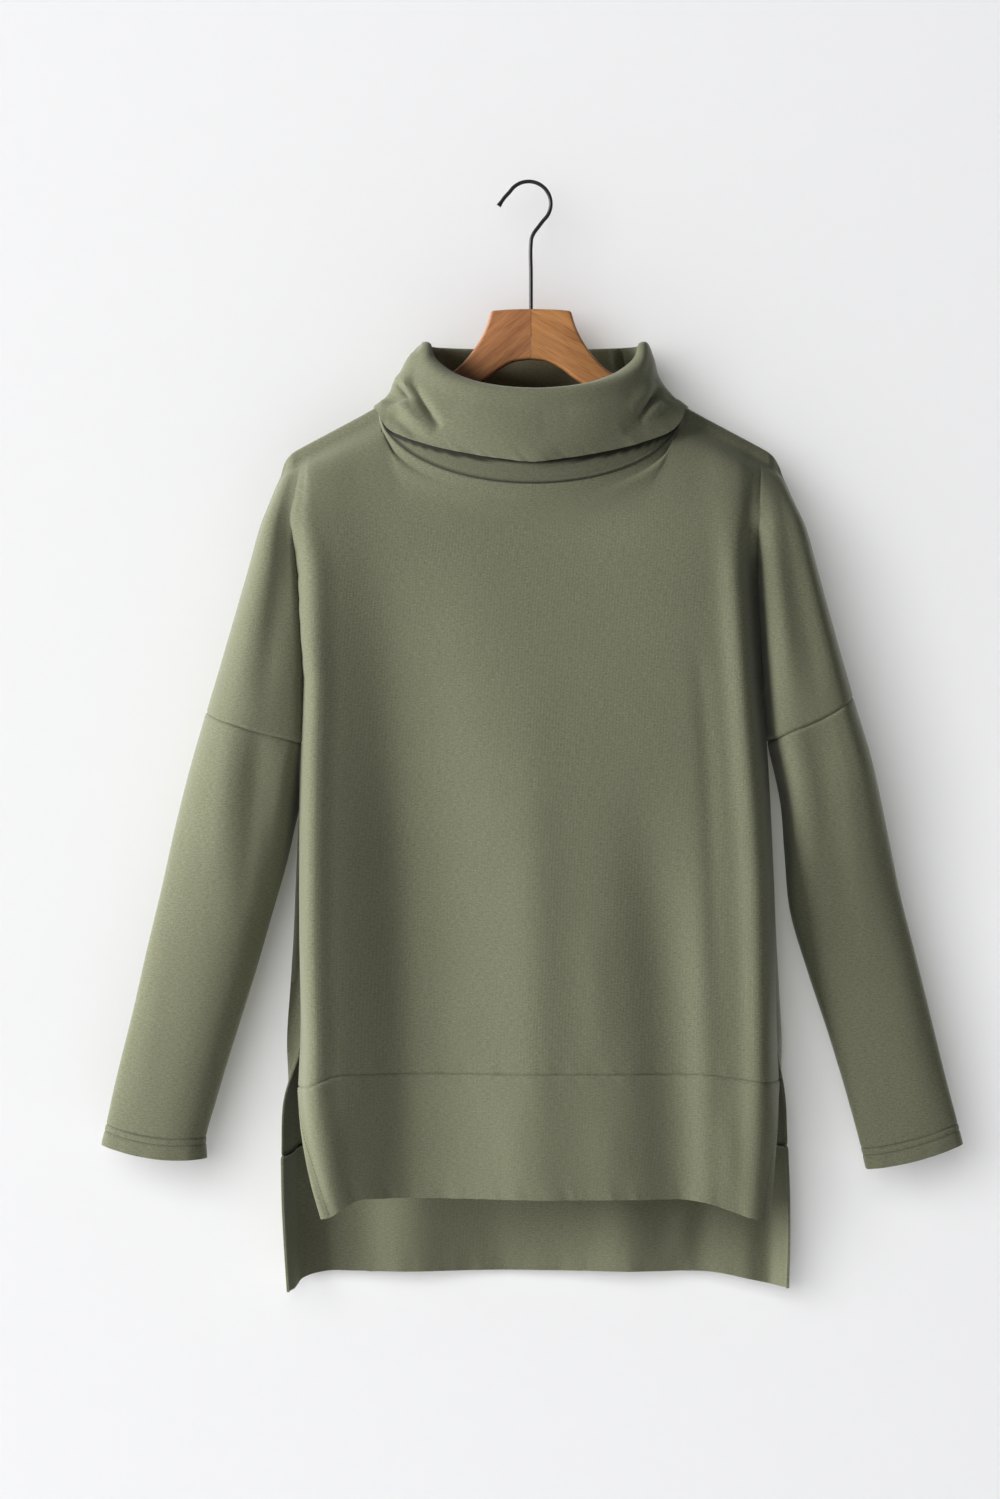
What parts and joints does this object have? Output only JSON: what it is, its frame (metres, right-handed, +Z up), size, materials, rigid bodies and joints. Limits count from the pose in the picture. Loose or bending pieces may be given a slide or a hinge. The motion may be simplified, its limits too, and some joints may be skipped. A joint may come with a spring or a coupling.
{
  "type": "cowl neck tunic on a wooden hanger",
  "caption": "Long-sleeved knit tunic with a turned-down cowl collar, side slits and a longer back, hung on a two-piece wooden hanger with a wire hook.",
  "frame": {"origin": "the inner top of the hook, where the rod that carries the hanger touches it", "axes": "+Z up, +Y towards the garment's back and along the rod, +X to the viewer's right when seen from the front"},
  "size_m": [0.7491, 0.1018, 0.9695],
  "materials": {
    "jersey": "matt sage green knit jersey",
    "wood": "satin clear lacquer",
    "wire": "satin black"
  },
  "bodies": {
    "root": {"front": "jersey", "back": "jersey", "front_band": "jersey", "back_band": "jersey", "sleeve_left": "jersey", "sleeve_right": "jersey", "collar": "jersey", "hanger_left": "wood", "hanger_right": "wood", "hanger_hook": "wire"}
  },
  "joints": []
}
